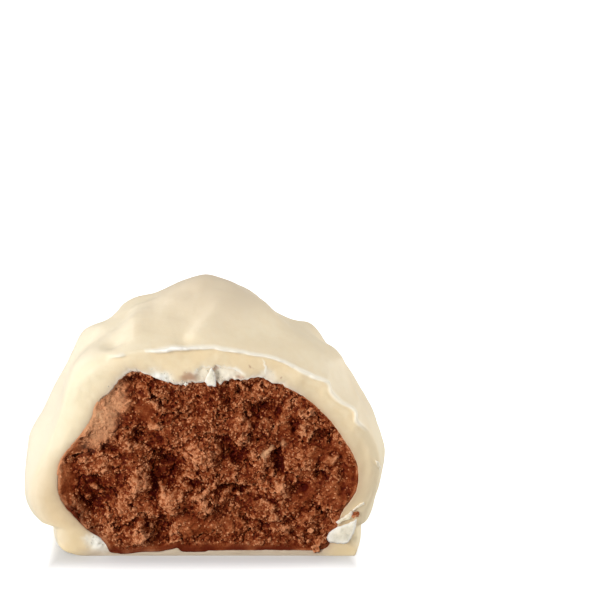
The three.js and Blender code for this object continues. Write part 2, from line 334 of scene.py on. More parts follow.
# Lamps, in metres: place, size, power and colour
LAMPS = {
    "key": ((-0.27, -0.32, 0.17), 0.2, 1.36, (1, 0.99, 0.97)),
    "right rim": ((0.4, 0.14, 0.16), 0.25, 1.1, (1, 0.97, 0.93)),
    "left rim": ((-0.3, 0.25, 0.22), 0.25, 0.56, (1, 0.99, 0.98)),
}
LAMP_AIM = (0, 0, 0.012)
ROOM_LIGHT = 0.4  # strength of the white room; the camera sees it white

# Floor: it glows for the camera outside a painted outline, so its shadow is straight in front and round
# behind, as the foot is
FLOOR_HALF = 3.0
SHADOW_HALF = 17.2 * MM
SHADOW_FRONT = -14.5 * MM
SHADOW_ROUND = -4 * MM  # it is round behind here
SHADOW_FADES = (2.4 * MM, 6 * MM)  # at its sides and in front
SHADOW_RIM = (0.66, 0.97)  # its rim, painted darker, lies between these shares of its half width
FLOOR_GLOW = (0.27, 0.18, 0.9)  # for the camera: in the middle of the shadow, at its rim and outside


# Node trees

SOCKETS = {float: "NodeSocketFloat", int: "NodeSocketInt", str: "NodeSocketString"}


def feed(tree, node, inputs):
    """Puts a value, or a link from another node, on each input that is given."""
    for key, value in dict(inputs).items():
        if isinstance(value, bpy.types.NodeSocket):
            tree.links.new(value, node.inputs[key])
        else:
            node.inputs[key].default_value = value


def put(tree, kind, inputs=(), **settings):
    """A new node with its settings and inputs."""
    node = tree.nodes.new(kind)
    for name, value in settings.items():
        setattr(node, name, value)
    feed(tree, node, inputs)
    return node


def sums(tree, operation, *values, clamp=False):
    """The result of a sum on numbers or sockets."""
    node = put(tree, "ShaderNodeMath", enumerate(values), operation=operation, use_clamp=clamp)
    return node.outputs[0]


def times(tree, *values, clamp=False):
    """Two numbers or sockets multiplied."""
    return sums(tree, "MULTIPLY", *values, clamp=clamp)


def vectors(tree, operation, *values):
    """The result of a sum on vectors; a number scales a vector."""
    keys = (0, "Scale") if operation == "SCALE" else (0, 1)
    node = put(tree, "ShaderNodeVectorMath", zip(keys, values), operation=operation)
    return node.outputs["Vector"]


def spread(tree, value, low, high, to_low=0.0, to_high=1.0, smooth=True):
    """A value moved from one range to another, held within it."""
    node = put(tree, "ShaderNodeMapRange", {0: value, 1: low, 2: high, 3: to_low, 4: to_high})
    node.interpolation_type = "SMOOTHSTEP" if smooth else "LINEAR"
    return node.outputs[0]


def blend(tree, share, first, second):
    """Two colours mixed by a share."""
    return put(tree, "ShaderNodeMix", {0: share, 6: first, 7: second}, data_type="RGBA").outputs[2]


def parts(tree, vector):
    """The three numbers of a vector."""
    return put(tree, "ShaderNodeSeparateXYZ", {0: vector}).outputs


def layered(tree, colour, *layers):
    """A colour with others laid over it, each by its share."""
    for share, over in layers:
        colour = blend(tree, share, colour, rgb(*over))
    return colour


def cloud(tree, place, size, detail, roughness=0.5, puffs=1.0):
    """Cloudy noise with so many puffs to a size, as a number and as a colour."""
    return put(tree, "ShaderNodeTexNoise", {
        "Vector": place, "Scale": sums(tree, "DIVIDE", puffs, size), "Detail": detail,
        "Roughness": roughness,
    }).outputs


def wandering(tree, place, size, far, detail, puffs=1.0):
    """A shift that wanders with a cloud, up to half so far each way."""
    drawn = cloud(tree, place, size, detail, puffs=puffs)["Color"]
    return vectors(tree, "SCALE", vectors(tree, "SUBTRACT", drawn, (0.5, 0.5, 0.5)), far)


def rgb(red, green, blue):
    """A colour read off a screen, 0 to 255, as the linear colour of a shader."""
    def linear(part):
        part /= 255
        return part / 12.92 if part <= 0.04045 else ((part + 0.055) / 1.055) ** 2.4
    return (linear(red), linear(green), linear(blue), 1.0)


def group(name, kind, inputs, outputs=()):
    """A node group with named inputs and outputs; a geometry tree also has its mesh and its finish."""
    tree = bpy.data.node_groups.new(name, kind)
    sockets = [(title, SOCKETS[type(value)], "INPUT", value) for title, value in inputs.items()]
    sockets += [(title, "NodeSocketFloat", "OUTPUT", None) for title in outputs]
    if kind == "GeometryNodeTree":
        sockets.insert(0, ("Geometry", "NodeSocketGeometry", "INPUT", None))
        sockets.append(("Material", "NodeSocketMaterial", "INPUT", None))
        sockets.append(("Geometry", "NodeSocketGeometry", "OUTPUT", None))
    for title, socket, way, value in sockets:
        made = tree.interface.new_socket(title, socket_type=socket, in_out=way)
        if value is not None:
            made.default_value = value
    return tree


# Meshes

def placed(name, data):
    """A new object in the scene that holds a mesh, a lamp or a lens."""
    thing = bpy.data.objects.new(name, data)
    bpy.context.scene.collection.objects.link(thing)
    return thing


def mesh_piece(name, points, faces, marks):
    """A smooth mesh object with a number kept on each vertex for every mark."""
    mesh = bpy.data.meshes.new(name)
    mesh.from_pydata(points.tolist(), [], faces)
    for title, values in marks.items():
        kept = mesh.attributes.new(title, "FLOAT", "POINT")
        kept.data.foreach_set("value", np.asarray(values, np.float32))
    mesh.shade_smooth()
    return placed(name, mesh)


def grow(piece, tree, **sizes):
    """Runs a geometry tree on a piece and keeps the outcome as its plain mesh."""
    modifier = piece.modifiers.new(tree.name, "NODES")
    modifier.node_group = tree
    for item in tree.interface.items_tree:
        title = item.name.replace(" ", "_")
        if item.in_out == "INPUT" and title in sizes:
            modifier[item.identifier] = sizes[title]
    graph = bpy.context.evaluated_depsgraph_get()
    mesh = bpy.data.meshes.new_from_object(
        piece.evaluated_get(graph), preserve_all_data_layers=True, depsgraph=graph
    )
    piece.modifiers.remove(modifier)
    piece.data = mesh
    return piece


def ray_tree(node):
    """The surface of a CAD node, ready for rays."""
    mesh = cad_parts[node].data
    return BVHTree.FromPolygons([v.co for v in mesh.vertices], [p.vertices for p in mesh.polygons])


def aims(turns, tip):
    """Directions from the heart: turns go round the cut, and the tip leans back from it."""
    lean = np.cos(tip)
    return np.stack([lean * np.cos(turns), np.full_like(turns, np.sin(tip)), lean * np.sin(turns)], -1)


def points_at(turns, tip, distance):
    """Points in these directions, at a distance from the heart."""
    return np.array(HEART) + aims(turns, tip) * distance[..., None]


def reach(tree, ways, outside):
    """How far a surface lies from the heart along each direction, met from outside or from the heart."""
    start, sign = (FAR, -1) if outside else (0, 1)
    found = []
    for way in map(Vector, ways):
        hit = tree.ray_cast(HEART + start * way, sign * way)[3]
        found.append(np.nan if hit is None else start + sign * hit)
    return np.array(found)


def bridged(values, gap):
    """Values round the cut with those inside a gap, and any that are missing, drawn straight across it."""
    turns = np.linspace(0, 2 * np.pi, len(values), endpoint=False)
    wrapped = (turns + np.pi) % (2 * np.pi) - np.pi
    good = np.isfinite(values) & ~((wrapped > gap[0]) & (wrapped < gap[1]))
    return np.interp(turns, turns[good], values[good], period=2 * np.pi)


def blurred(values, steps, axis, wrap):
    """Values blurred along one axis by a bell of so many steps."""
    half = int(3 * steps) + 1
    weights = np.exp(-0.5 * (np.arange(-half, half + 1) / steps) ** 2)
    pad = [(0, 0)] * values.ndim
    pad[axis] = (half, half)
    padded = np.pad(values, pad, mode="wrap" if wrap else "edge")
    return np.apply_along_axis(np.convolve, axis, padded, weights / weights.sum(), mode="valid")


def woven(rows, first_pole, last_pole):
    """Faces between closed rows of vertices, with a pole before the first and after the last."""
    faces = []
    for low, high in zip(rows[:-1], rows[1:]):
        faces += zip(low, high, np.roll(high, -1), np.roll(low, -1))
    if first_pole is not None:
        faces += zip([first_pole] * len(rows[0]), rows[0], np.roll(rows[0], -1))
    faces += zip(rows[-1], [last_pole] * len(rows[-1]), np.roll(rows[-1], -1))
    return [tuple(int(i) for i in face) for face in faces]


def ripple(points, size, seed):
    """Smooth noise from -1 to 1 at each point, with bumps about that large."""
    shift = Vector((seed, 0, 0))
    return np.array([noise.noise(Vector(p) / size + shift) for p in points])


def rippled(points, layers):
    """Layers of smooth noise, one on another."""
    return sum(height * ripple(points, size, seed) for height, size, seed in layers)


def ramp(values, low, high):
    """Values moved from a range to 0 to 1 with soft ends."""
    share = np.clip((values - low) / (high - low), 0, 1)
    return share * share * (3 - 2 * share)


def bell(values, width):
    """A mask that is 1 where a value is 0 and falls off to both sides over a width."""
    return np.exp(-((values / width) ** 2))


def turned(across, up, degrees):
    """Places on the cut, measured along and beside a direction that is turned there."""
    cos, sin = math.cos(math.radians(degrees)), math.sin(math.radians(degrees))
    return across * cos + up * sin, up * cos - across * sin


def spot(across, up, place):
    """A mask that is 1 in the middle of a turned oval on the cut and falls to 0 at its edge."""
    middle_across, middle_up, wide, tall, turn = place[:5]
    along, aside = turned(across - middle_across, up - middle_up, turn)
    return np.exp(-(((along / wide) ** 2 + (aside / tall) ** 2) ** 2))


def ledge(away, width):
    """A mask that is 1 up to half a width from an edge and falls to 0 a little past a whole one."""
    return ramp(away, 1.2 * width, 0.5 * width)


def streaks(points, turn):
    """Fine streaks on the cut that run at a turn, as a knife draws them, from -1 to 1."""
    along, aside = turned(points[..., 0], points[..., 2], turn)
    drawn = np.stack([along / 8, aside, np.zeros_like(along)], -1)
    return ripple(drawn.reshape(-1, 3), 0.35 * MM, 0.4).reshape(along.shape)


def shifted(shifts):
    """How far a list of shifts moves each turn of an edge outwards."""
    moved = np.zeros(TURNS)
    for middle, half, out in shifts:
        apart = (np.degrees(turns) - middle + 180) % 360 - 180
        moved += out * MM * bell(apart, half)
    return moved


def lifted(points, share):
    """Moves the crease over the foot, and what lies round it, up to where it is seen."""
    up = points[:, 2]
    raised = np.interp(up, *np.transpose(CREASE) * MM) - up
    points[:, 2] = np.maximum(up + share * np.where(up < CREASE[-1][0] * MM, raised, 0), 0)


def folded(points):
    """How far the folds raise each point of the dome."""
    raised = np.zeros(len(points))
    for start, end, half, height in FOLDS:
        start, run = np.array(start) * MM, (np.array(end) - np.array(start)) * MM
        share = np.clip((points - start) @ run / max(run @ run, 1e-12), 0, 1)
        away = np.linalg.norm(points - start - share[:, None] * run, axis=1)
        raised += height * MM * bell(away, half * MM)
    return raised


def hollow_reach(tip):
    """How far the coating's hollow lies from the heart round a lean back from the cut."""
    return bridged(reach(coating_rays, aims(turns, tip), False), SHARD_TURNS)


# The two outlines of the coating at the cut

turns = np.linspace(0, 2 * np.pi, TURNS, endpoint=False)
coating_rays = ray_tree("coating")
core_rays = ray_tree("praline_core")
inner_edge = blurred(hollow_reach(0.0), INNER_BLUR, 0, True)
inner_edge += shifted(EDGE_SHIFTS)
outer_tips = 0.5 * np.pi * np.linspace(0, 1, OUTER_ROWS, endpoint=False)
outer_reach = np.array([reach(coating_rays, aims(turns, tip), True) for tip in outer_tips])
outer_up = HEART.z + outer_reach * np.cos(outer_tips)[:, None] * np.sin(turns)
near_floor = ramp(outer_up, FOOT_END[1], FOOT_END[0])
smoothed_reach = blurred(blurred(outer_reach, OUTER_BLUR[0], 1, True), OUTER_BLUR[1], 0, False)
outer_reach += (1 - FOOT_KEPT * near_floor) * (smoothed_reach - outer_reach)
outer_reach += shifted(OUTER_SHIFTS) * np.exp(-outer_reach * outer_tips[:, None] / OUTER_SHIFT_REACH)
outer_edge = outer_reach[0]


# The coating

def knife_edge(points):
    """Along the cut's outer edge: how round it is, and the ridge's height, width and whiteness, which is
    partly bloom and partly painted highlight.
    """
    across = points[:, 0] / MM
    ridged = ramp(np.sin(turns), 0.1, 0.3)
    ridged *= ramp(across, LIP_SPAN[0], LIP_SPAN[0] + LIP_END)
    ridged *= ramp(-across, -LIP_SPAN[1], LIP_END - LIP_SPAN[1])
    standing = 1 - ramp(points[:, 2], 1.2 * MM, 0.3 * MM)  # not where the edge meets the floor
    soft = (1 - ridged) * standing
    thick = bell(across - LIP_THICK[0], LIP_THICK[1])
    broken = ramp(-across, -LIP_BROKEN, 1 - LIP_BROKEN)
    broken *= 0.25 + 0.6 * ramp(ripple(points, 1.3 * MM, 1.3), 0.2, -0.1)
    height = LIP * (0.7 + 0.7 * ripple(points, 3 * MM, 3.1) + thick)
    height += 0.2 * MM * ripple(points, 0.7 * MM, 8.2)
    height = np.clip(height, 0.02 * MM, None) * ridged * (1 - broken)
    width = LIP_WIDTH * (1 + 1.1 * thick + 0.4 * ramp(across, LIP_SOFT - 4, LIP_SOFT))
    white = 0.5 + 0.15 * ramp(-across, -LIP_SOFT - 1, -LIP_SOFT) + 0.35 * thick
    return soft, height, width, ridged * white * (1 - broken)


def ring_row(share, inner, width, high, knife):
    """One row of the ring that the knife cut, a share of the way outwards, and its marks."""
    soft, lip, lip_width, lip_bloom_and_highlight = knife
    points = points_at(turns, 0.0, inner + share * width)
    points[:, 1] = CUT
    lifted(points, share)
    from_edge = (1 - share) * width
    from_inner = share * width
    edge = ledge(from_edge, lip_width)
    wander = rippled(points, MARK_WANDER)
    across = points[:, 0] / MM + wander
    up = points[:, 2] / MM - wander
    rim = np.max([place[5] * spot(across, up, place) for place in CRUMBLED], axis=0)
    rim = np.maximum(rim, 0.7 * high * bell(from_inner, PALE_RIM))
    crumbled = rim * (0.1 + rippled(points, CRUMBLED_GRAIN)) * MM
    hollow = spot(across, up, SCOOP)
    scoop = SCOOP_DEPTH * ramp(hollow, 0.25, 0.75)
    # painted highlight along the scoop's upper edge
    scoop_edge = bell(hollow - 0.4, 0.12) * ramp(up, SCOOP[1], SCOOP[1] + 0.6)
    crack = 0.7 * spot(across, points[:, 2] / MM, CRACK)
    waves = np.sin(2 * np.pi * from_edge / WAVE_STEP + 2 * ripple(points, 4 * MM, 0.7))
    waves = WAVE_HEIGHT * waves * np.exp(-from_edge / WAVE_REACH)
    uneven = rippled(points, CUT_UNEVEN)
    uneven += waves * ramp(across, *WAVE_ACROSS) * ramp(up, *WAVE_UP)
    rounded = EDGE_ROUND * soft * np.exp(-from_edge / EDGE_ROUND)
    rounded += INNER_ROUND * np.exp(-from_inner / (3 * INNER_ROUND))
    points[:, 1] += uneven * (1 - edge) + crumbled + scoop + rounded - lip * edge - CRACK_HEIGHT * crack
    return points, {
        "cut": 1 - 0.65 * soft * bell(from_edge, EDGE_FADE),
        "edge": np.max([edge * lip_bloom_and_highlight, crack, 0.8 * scoop_edge], axis=0),
        "rim": rim,
        "smudge": np.max([spot(across, up, place) for place in SMUDGES], axis=0),
        "inner": bell(from_inner, INNER_GREY),
    }


def shell_row(tip, distance, knife):
    """One row of the outside, at a lean back from the cut, and its marks."""
    soft, lip, lip_width, lip_bloom_and_highlight = knife
    points = points_at(turns, tip, distance)
    away = distance * tip
    edge = ledge(away, lip_width)
    points += aims(turns, tip) * folded(points)[:, None]
    points[:, 1] += EDGE_ROUND * soft * np.exp(-away / EDGE_ROUND) - lip * edge
    lifted(points, 1)
    return points, {
        "cut": (1 - soft) * edge + 0.35 * soft * bell(away, EDGE_FADE),
        "edge": edge * lip_bloom_and_highlight,
    }


def coating_piece():
    """The coating: its hollow, the ring that the knife cut and its craggy outside."""
    high = np.clip((np.sin(turns) - 0.55) / 0.3, 0, 1)  # towards the top of the cut
    cut_points = points_at(turns, 0.0, outer_edge)
    knife = knife_edge(cut_points)
    inner = inner_edge + rippled(cut_points, INNER_JAG) * (0.15 + 0.85 * high)
    rows = [
        (points_at(turns, tip, hollow_reach(tip)), {})
        for tip in np.linspace(0.5 * np.pi, 0, CAVITY_ROWS + 1)[1:-1]
    ]
    rows += [
        ring_row(share, inner, outer_edge - inner, high, knife) for share in np.linspace(0, 1, RING_ROWS)
    ]
    rows += [shell_row(tip, distance, knife) for tip, distance in zip(outer_tips[1:], outer_reach[1:])]

    backwards = aims(np.zeros(1), 0.5 * np.pi)
    back = [
        np.array(HEART) + backwards * reach(coating_rays, backwards, outside) for outside in (False, True)
    ]
    points = np.vstack([places for places, _ in rows] + back)
    count = len(rows) * TURNS
    faces = woven(np.arange(count).reshape(len(rows), TURNS), count, count + 1)
    none = np.zeros(TURNS)
    marks = {
        title: np.append(np.concatenate([given.get(title, none) for _, given in rows]), [0, 0])
        for title in COATING_MARKS
    }
    return mesh_piece("white_chocolate_coating", points, faces, marks)


def flake(name, proud, thick, lean, rugged, corners, material):
    """A broken flake against the cut, thickest in its middle; its own sizes seed its unevenness."""
    corners = np.array(corners + corners[:1])
    along = np.concatenate([[0], np.cumsum(np.linalg.norm(np.diff(corners, axis=0), axis=1))])
    steps = np.linspace(0, along[-1], FLAKE_SIDES, endpoint=False)
    outline = np.stack([np.interp(steps, along, corners[:, axis]) for axis in (0, 1)], -1)
    middle = outline.mean(axis=0)
    shares = np.linspace(0, 1, FLAKE_ROWS + 1)[1:]
    places = []
    edge = []
    for share, side in [(s, 1) for s in shares] + [(s, -1) for s in shares[-2::-1]]:
        # painted highlight: each flake is paler towards its edge
        edge += [share ** 5] * FLAKE_SIDES
        flat = share * (outline - middle)
        out = proud + flat @ np.array(lean) + side * 0.5 * thick * (1 - 0.8 * share ** 3)
        ring = np.stack([middle[0] + flat[:, 0], -out, middle[1] + flat[:, 1]], -1) * MM
        places.append(ring + np.array([0, CUT, 0]))
    for ring in places:
        ring[:, 1] += rugged * thick * MM * ripple(ring, 0.6 * MM, proud)
        ring[:, 0] += 0.3 * rugged * MM * ripple(ring, 0.35 * MM, thick)
        ring[:, 2] += 0.3 * rugged * MM * ripple(ring, 0.35 * MM, thick + 5)
    rows = np.arange(len(places) * FLAKE_SIDES).reshape(-1, FLAKE_SIDES)
    ends = [[middle[0] * MM, CUT - (proud + side * 0.5 * thick) * MM, middle[1] * MM] for side in (1, -1)]
    marks = {title: np.full(rows.size + 2, 0.6) for title in ("lift", "stand")}
    marks["edge"] = edge + [0, 0]
    marks["rough"] = marks["torn"] = np.ones(rows.size + 2)
    marks["tone"] = np.full(rows.size + 2, BIT_TONE)
    piece = mesh_piece(name, np.vstack(places + [ends]), woven(rows, rows.size, rows.size + 1), marks)
    piece.data.materials.append(material)
    return piece


# The core

def cut_grid():
    """A square grid folded onto the core's cut: share of the way to the edge, and turn, of each point."""
    line = np.linspace(-1, 1, CUT_STEPS)
    u, v = np.meshgrid(line, line, indexing="ij")
    wide = np.abs(u) >= np.abs(v)
    with np.errstate(divide="ignore", invalid="ignore"):
        turn = np.where(wide, 0.25 * np.pi * v / u, 0.5 * np.pi - 0.25 * np.pi * u / v)
    share = np.where(wide, u, v)
    turn = np.where(np.isfinite(turn), turn, 0) + np.where(share < 0, np.pi, 0)
    return np.abs(share), turn % (2 * np.pi)


def round_the_cut(values, turn):
    """Values kept round the cut, read at any turn."""
    return np.interp(turn, turns, values, period=2 * np.pi)


def behind_the_cut(probe):
    """How far behind the cut the crumb lies: the CAD's core, smoothed and set back."""
    behind = np.full(probe.shape[:2], PROBE_MISS)
    for index in np.ndindex(behind.shape):
        x, _, z = probe[index]
        hit = core_rays.ray_cast(Vector((x, CUT - 5 * MM, z)), Vector((0, 1, 0)))[0]
        if hit:
            behind[index] = hit.y - CUT
    return RECESS + blurred(blurred(behind, PROBE_BLUR, 0, False), PROBE_BLUR, 1, False)


def drifts(points, length):
    """Three numbers from -1 to 1 for each point that change smoothly over a length."""
    return np.array([noise.noise_vector(Vector(p) / length) for p in points.reshape(-1, 3)])


def crumb_marks(points, across, up):
    """What pits, clumps and smears do to the crumb: its dent in mm, tone, smoothness and haze; pits darken
    and clumps pale its tone, partly as painted shade and light.
    """
    dent = np.zeros(across.shape)
    tone = np.zeros(across.shape)
    for pit in PITS:
        size = min(math.sqrt(pit[2] * pit[3]), PIT_TONE_WIDEST)
        dent += pit[5] * spot(across, up, pit)
        tone += PIT_TONE * size * spot(across, up, pit)
    for clump in CLUMPS:
        dent -= clump[5] * spot(across, up, clump)
        tone += CLUMP_TONE * spot(across, up, clump)
    smooth = np.zeros(across.shape)
    haze = np.zeros(across.shape)
    for smear in SMEARS:
        pressed = smear[5] * spot(across, up, smear)
        tone += (smear[6] + STREAK_TONE * streaks(points, smear[4])) * pressed
        smooth = np.maximum(smooth, pressed)
        haze = np.maximum(haze, smear[6] * pressed)
    return dent, tone, smooth, haze


def core_piece():
    """The core: the torn crumb at the cut and, hidden in the coating, its sides and back."""
    share, turn = cut_grid()
    edge = round_the_cut(inner_edge, turn)
    points = points_at(turn, 0.0, share * (edge + UNDER_COATING))
    behind = behind_the_cut(points_at(turn, 0.0, share * (edge - PROBE_INSET)))
    noise.seed_set(WANDER_SEED)
    drift = drifts(points, BROAD_DRIFT[1])
    stray = drifts(points, FINE_DRIFT[1])
    wander = (BROAD_DRIFT[0] * drift + FINE_DRIFT[0] * stray).reshape(points.shape)
    across = points[..., 0] / MM + wander[..., 0]
    up = points[..., 2] / MM + wander[..., 2]
    dent, tone, smooth, haze = crumb_marks(points, across, up)

    # Where the crumb meets the coating
    inward = (1 - share) * edge
    bottom = ramp(-np.sin(turn), 0.55, 0.72)
    right = ramp(np.cos(turn), 0.5, 0.85)
    left = ramp(-np.cos(turn), 0.3, 0.6)
    rim_width = (0.55 + 0.35 * bottom + 0.5 * right) * MM
    # painted shade: the crumb is darker along the coating's edge
    tone += RIM_SHADE_TONE * (1 - 0.7 * left) * bell(inward, rim_width)
    torn = ramp(inward, 0.4 * MM * bottom, (0.4 + 0.6 * bottom) * MM)
    rough = (1 - smooth) * ramp(inward, (0.15 + 0.4 * bottom) * MM, (0.5 + 0.5 * bottom) * MM)
    rim_depth = RIM_DEPTH * (0.35 + 0.65 * ramp(np.cos(turn), -0.2, 0.3))
    rim_depth += TOP_RIM_DEPTH * ramp(np.sin(turn), 0.5, 0.75)
    settled = ramp(inward, 0.0, RIM_SLOPE)
    points[..., 1] = CUT + rim_depth + (behind + dent * MM - rim_depth) * settled
    low = ramp(-np.sin(turn), 0.5 * left - 0.35, 0.25 * left + 0.1)
    skin_width = (0.28 + 0.45 * bottom + 0.3 * left) * MM
    skin = low * np.exp(-((inward / skin_width - drift[:, 1].reshape(share.shape)) ** 2))

    # The faces of the cut, then the sides and the back
    index = np.arange(share.size).reshape(share.shape)
    squares = np.stack([index[:-1, :-1], index[1:, :-1], index[1:, 1:], index[:-1, 1:]], -1)
    rim = np.concatenate([index[-1, :-1], index[:0:-1, -1], index[0, :0:-1], index[:-1, 0]])
    rim_turns = turn.flatten()[rim]
    places = [points.reshape(-1, 3)]
    rows = [rim]
    count = share.size
    for tip in np.linspace(0, 0.5 * np.pi, SIDE_ROWS + 1)[1:-1]:
        distance = round_the_cut(hollow_reach(tip), rim_turns) - SIDE_GAP
        places.append(points_at(rim_turns, tip, distance))
        rows.append(np.arange(count, count + len(rim)))
        count += len(rim)
    places.append(np.array([[HEART.x, CORE_HIGH.y, HEART.z]]))
    faces = squares.reshape(-1, 4).tolist() + woven(rows, None, count)
    hidden = np.zeros(count + 1 - share.size)
    marks = {"rough": rough, "torn": torn, "tone": tone, "skin": skin, "haze": haze}
    marks = {title: np.append(values.flatten(), hidden) for title, values in marks.items()}
    return mesh_piece("praline_crumb", np.vstack(places), faces, marks)


# Shapes that follow a rule

def kept_number(tree, title):
    """A number kept on the vertices of a piece, in a geometry tree."""
    return put(tree, "GeometryNodeInputNamedAttribute", {"Name": title}).outputs[0]


def keeping(tree, geometry, title, value, domain):
    """A geometry with a number kept on each of its points or instances."""
    return put(tree, "GeometryNodeStoreNamedAttribute", {
        "Geometry": geometry, "Name": title, "Value": value,
    }, data_type="FLOAT", domain=domain).outputs[0]


def moved(tree, geometry, offset):
    """A mesh with its points moved."""
    return put(tree, "GeometryNodeSetPosition", {"Geometry": geometry, "Offset": offset}).outputs[0]


def ending(tree, geometry, material):
    """Ends a geometry tree: what it made is real and has its finish."""
    real = put(tree, "GeometryNodeRealizeInstances", {0: geometry}).outputs[0]
    done = put(tree, "GeometryNodeSetMaterial", {"Geometry": real, "Material": material}).outputs[0]
    put(tree, "NodeGroupOutput", {0: done})


def crumb_tree():
    """Geometry nodes that tear a cut face into chunks, crags, pores and grains."""
    tree = group("torn crumb", "GeometryNodeTree", {
        "Chunk size": 2.6 * MM, "Chunk depth": 1.0 * MM,
        "Crag size": 1.5 * MM, "Crag depth": 1.6 * MM,
        "Pore size": 1.1 * MM, "Pore depth": 0.55 * MM,
        "Grain size": 0.48 * MM, "Grain depth": 0.22 * MM,
    })
    given = put(tree, "NodeGroupInput").outputs
    place = put(tree, "GeometryNodeInputPosition").outputs[0]
    rough = kept_number(tree, "rough")
    torn = kept_number(tree, "torn")

    def drifting(size, share):
        return wandering(tree, place, size, times(tree, size, share), 2.0)

    bent = vectors(tree, "ADD", place, drifting(given["Chunk size"], 0.9))
    bent = vectors(tree, "ADD", bent, drifting(given["Pore size"], 0.8))

    def cells(size):
        scale = sums(tree, "DIVIDE", 1.0, size)
        node = put(tree, "ShaderNodeTexVoronoi", {"Vector": bent, "Scale": scale}, feature="F1")
        draw = parts(tree, node.outputs["Color"])[0]
        return node.outputs["Distance"], draw

    def heap(title, least):
        away, draw = cells(given[title + " size"])
        dome = sums(tree, "SUBTRACT", 1.0, times(tree, away, away), clamp=True)
        high = times(tree, dome, spread(tree, draw, 0.0, 0.8, least, 1.0, smooth=False))
        return times(tree, sums(tree, "SUBTRACT", high, 0.4), given[title + " depth"])

    def crag():
        uneven = cloud(tree, bent, given["Crag size"], 4.0, roughness=0.62)[0]
        return times(tree, sums(tree, "SUBTRACT", uneven, 0.5), given["Crag depth"])

    def pore():
        away, draw = cells(given["Pore size"])
        inside = spread(tree, away, 0.18, 0.34, 1.0, 0.0)
        hole = times(tree, inside, spread(tree, draw, 0.5, 0.6))
        return times(tree, hole, times(tree, given["Pore depth"], -1.0))

    def where_rough(part, least):
        return times(tree, part, spread(tree, rough, 0.0, 1.0, least, 1.0, smooth=False))

    height = where_rough(heap("Chunk", 0.1), 0.15)
    for part, least in ((crag(), 0.1), (pore(), 0.2), (heap("Grain", -0.3), 0.3)):
        height = sums(tree, "ADD", height, where_rough(part, least))
    height = times(tree, height, torn)
    forward = put(tree, "ShaderNodeCombineXYZ", {1: times(tree, height, -1.0)}).outputs[0]
    sideways = vectors(tree, "SCALE", drifting(given["Grain size"], 0.8), times(tree, rough, torn))
    crumb = moved(tree, given["Geometry"], vectors(tree, "ADD", forward, sideways))
    depth = parts(tree, put(tree, "GeometryNodeInputPosition").outputs[0])[1]
    # how far each point stands above its surroundings, near and broad; the praline is paler there and
    # darker in hollows, partly as painted light and shade
    for title, steps, span in (("lift", 12, 0.3 * MM), ("stand", 160, 0.9 * MM)):
        blur = put(tree, "GeometryNodeBlurAttribute", {0: depth, "Iterations": steps}, data_type="FLOAT")
        above = sums(tree, "SUBTRACT", blur.outputs[0], depth)
        crumb = keeping(tree, crumb, title, spread(tree, above, -span, span, smooth=False), "POINT")
    ending(tree, crumb, given["Material"])
    return tree


def scatter_tree():
    """Geometry nodes that strew small chunks over a piece, as thick as one of its marks says."""
    tree = group("strewn chunks", "GeometryNodeTree", {
        "Where": "", "Per area": 5 / MM ** 2, "Smallest": 0.1 * MM, "Largest": 0.3 * MM, "Seed": 1,
    })
    given = put(tree, "NodeGroupInput").outputs
    points = put(tree, "GeometryNodeDistributePointsOnFaces", {
        "Mesh": given["Geometry"], "Seed": given["Seed"],
        "Density": times(tree, kept_number(tree, given["Where"]), given["Per area"]),
    }, distribute_method="RANDOM").outputs[0]

    def draw(low, high, kind):
        first, out = (2, 1) if kind == "FLOAT" else (0, 0)
        node = put(tree, "FunctionNodeRandomValue", {
            first: low, first + 1: high, "Seed": given["Seed"],
        }, data_type=kind)
        return node.outputs[out]

    chunk = put(tree, "GeometryNodeMeshIcoSphere", {"Radius": 1.0, "Subdivisions": 1}).outputs[0]
    full = 2 * math.pi
    stretch = draw((0.6, 0.6, 0.6), (1.3, 1.0, 1.2), "FLOAT_VECTOR")
    strewn = put(tree, "GeometryNodeInstanceOnPoints", {
        "Points": points, "Instance": chunk,
        "Rotation": draw((0.0, 0.0, 0.0), (full, full, full), "FLOAT_VECTOR"),
        "Scale": vectors(tree, "SCALE", stretch, draw(given["Smallest"], given["Largest"], "FLOAT")),
    }).outputs[0]
    toned = keeping(tree, strewn, "lift", draw(0.1, 1.12, "FLOAT"), "INSTANCE")
    real = put(tree, "GeometryNodeRealizeInstances", {0: toned}).outputs[0]
    place = put(tree, "GeometryNodeInputPosition").outputs[0]
    shift = wandering(tree, place, given["Largest"], given["Largest"], 1.0, puffs=0.8)
    ending(tree, moved(tree, real, shift), given["Material"])
    return tree


def strew(source, name, where, tree, material):
    """Small bits strewn over a piece, where one of its marks says."""
    count, smallest, largest, seed = STREWN[name]
    return grow(placed(name, source.data), tree, Where=where, Per_area=count / MM ** 2,
                Smallest=smallest * MM, Largest=largest * MM, Seed=seed, Material=material)


def coat_tree():
    """Geometry nodes that give the dipped coating its soft unevenness."""
    tree = group("dipped coat", "GeometryNodeTree", {
        "Wave size": 6.5 * MM, "Wave height": 0.6 * MM,
        "Dimple size": 1.3 * MM, "Dimple height": 0.08 * MM,
    })
    given = put(tree, "NodeGroupInput").outputs
    place = put(tree, "GeometryNodeInputPosition").outputs[0]

    def swell(size, height):
        return times(tree, sums(tree, "SUBTRACT", cloud(tree, place, size, 1.5)[0], 0.5), height)

    up = parts(tree, place)[2]
    uncut = sums(tree, "SUBTRACT", 1.0, kept_number(tree, "cut"))
    clear = times(tree, spread(tree, up, 0.2 * MM, 3 * MM), uncut)
    waves = swell(given["Wave size"], given["Wave height"])
    height = sums(tree, "ADD", waves, swell(given["Dimple size"], given["Dimple height"]))
    outwards = put(tree, "GeometryNodeInputNormal").outputs[0]
    offset = vectors(tree, "SCALE", outwards, times(tree, height, clear))
    ending(tree, moved(tree, given["Geometry"], offset), given["Material"])
    return tree


# Finishes

